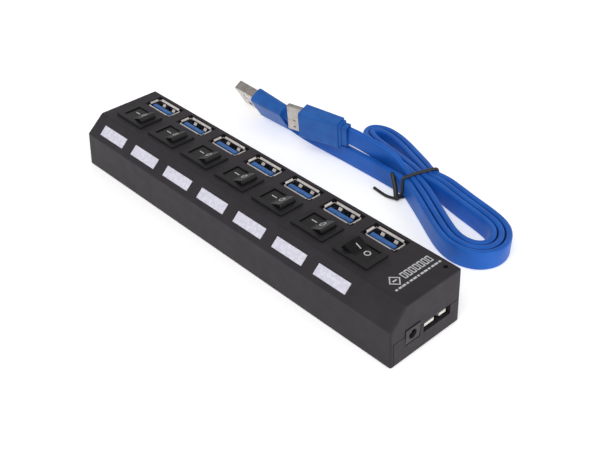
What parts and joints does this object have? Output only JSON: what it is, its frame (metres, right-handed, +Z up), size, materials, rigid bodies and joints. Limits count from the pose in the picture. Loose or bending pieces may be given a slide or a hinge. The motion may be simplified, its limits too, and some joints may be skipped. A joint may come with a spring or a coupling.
{
  "type": "usb hub",
  "caption": "Long low desktop hub with a row of upright USB-A ports, a rocker switch and a lit window for each, an end power jack and uplink, and a tied flat data cable",
  "frame": {"origin": "middle of the hub's footprint, on the surface it stands on", "axes": "+X along the row of ports towards the power jack, +Y to the back where the ports are, +Z up"},
  "size_m": [0.164, 0.1011, 0.0241],
  "materials": {
    "case": "fine-textured black ABS",
    "nickel": "nickel-plated bent steel",
    "screw_steel": "zinc-plated self-tapping screws",
    "blue_tongue": "blue glass-filled nylon",
    "contact_gold": "gold-flashed contact springs",
    "switch_black": "satin black plastic",
    "rocker_black": "satin black plastic with white marks",
    "terminal_metal": "tinned brass blades",
    "window_white": "translucent white diffuser",
    "led_chip": "surface-mounted LED packages",
    "led_clear": "tinted LED lens",
    "board_green": "solder-masked glass-fibre board",
    "chip_black": "moulded chip packages",
    "jack_black": "black jack housing",
    "jack_pin": "nickel-plated pin",
    "uplink_insulator": "pale insulator with plated contacts",
    "cable_blue": "satin blue PVC ribbon",
    "overmould_blue": "satin blue moulded PVC",
    "plug_nickel": "nickel-plated bent steel",
    "plug_insulator": "blue insulator",
    "tie_black": "plastic-covered wire"
  },
  "bodies": {
    "hub": {"top_cover": "case", "bottom_cover": "case", "port_shell_1": "nickel", "port_shell_2": "nickel", "port_shell_3": "nickel", "port_shell_4": "nickel", "port_shell_5": "nickel", "port_shell_6": "nickel", "port_shell_7": "nickel", "uplink_shell": "nickel", "case_screws": "screw_steel", "port_tongue_1": "blue_tongue", "port_tongue_2": "blue_tongue", "port_tongue_3": "blue_tongue", "port_tongue_4": "blue_tongue", "port_tongue_5": "blue_tongue", "port_tongue_6": "blue_tongue", "port_tongue_7": "blue_tongue", "port_contacts": "contact_gold", "switch_body_1": "switch_black", "switch_body_2": "switch_black", "switch_body_3": "switch_black", "switch_body_4": "switch_black", "switch_body_5": "switch_black", "switch_body_6": "switch_black", "switch_body_7": "switch_black", "switch_terminals": "terminal_metal", "window_lens_1": "window_white", "window_lens_2": "window_white", "window_lens_3": "window_white", "window_lens_4": "window_white", "window_lens_5": "window_white", "window_lens_6": "window_white", "window_lens_7": "window_white", "window_leds": "led_chip", "power_led": "led_clear", "main_board": "board_green", "hub_chips": "chip_black", "board_parts": "chip_black", "dc_jack_body": "jack_black", "dc_jack_pin": "jack_pin", "uplink_tongue": "uplink_insulator"},
    "rocker_1": {"switch_rocker_1": "rocker_black"},
    "rocker_2": {"switch_rocker_2": "rocker_black"},
    "rocker_3": {"switch_rocker_3": "rocker_black"},
    "rocker_4": {"switch_rocker_4": "rocker_black"},
    "rocker_5": {"switch_rocker_5": "rocker_black"},
    "rocker_6": {"switch_rocker_6": "rocker_black"},
    "rocker_7": {"switch_rocker_7": "rocker_black"},
    "data_cable": {"cable_hank": "cable_blue", "cable_lead_a": "cable_blue", "cable_lead_b": "cable_blue", "cable_tie": "tie_black", "a_plug_shell": "plug_nickel", "a_plug_insert": "plug_insulator", "a_plug_body": "overmould_blue", "micro_plug_shell": "plug_nickel", "micro_plug_body": "overmould_blue"}
  },
  "joints": [
    {"name": "rocker_1_tilt", "type": "hinge", "parent": "hub", "child": "rocker_1", "pos_m": [-0.0672, -0.00055, 0.0213], "axis": [0, 1, 0], "range_deg": [0, 24]},
    {"name": "rocker_2_tilt", "type": "hinge", "parent": "hub", "child": "rocker_2", "pos_m": [-0.0472, -0.00055, 0.0213], "axis": [0, 1, 0], "range_deg": [0, 24]},
    {"name": "rocker_3_tilt", "type": "hinge", "parent": "hub", "child": "rocker_3", "pos_m": [-0.0272, -0.00055, 0.0213], "axis": [0, 1, 0], "range_deg": [0, 24]},
    {"name": "rocker_4_tilt", "type": "hinge", "parent": "hub", "child": "rocker_4", "pos_m": [-0.0072, -0.00055, 0.0213], "axis": [0, 1, 0], "range_deg": [0, 24]},
    {"name": "rocker_5_tilt", "type": "hinge", "parent": "hub", "child": "rocker_5", "pos_m": [0.0128, -0.00055, 0.0213], "axis": [0, 1, 0], "range_deg": [0, 24]},
    {"name": "rocker_6_tilt", "type": "hinge", "parent": "hub", "child": "rocker_6", "pos_m": [0.0328, -0.00055, 0.0213], "axis": [0, 1, 0], "range_deg": [0, 24]},
    {"name": "rocker_7_tilt", "type": "hinge", "parent": "hub", "child": "rocker_7", "pos_m": [0.0528, -0.00055, 0.0213], "axis": [0, 1, 0], "range_deg": [-24, 0]},
    {"name": "cable_away", "type": "slide", "parent": "hub", "child": "data_cable", "axis": [0, 1, 0], "range_m": [0, 0.08]}
  ]
}
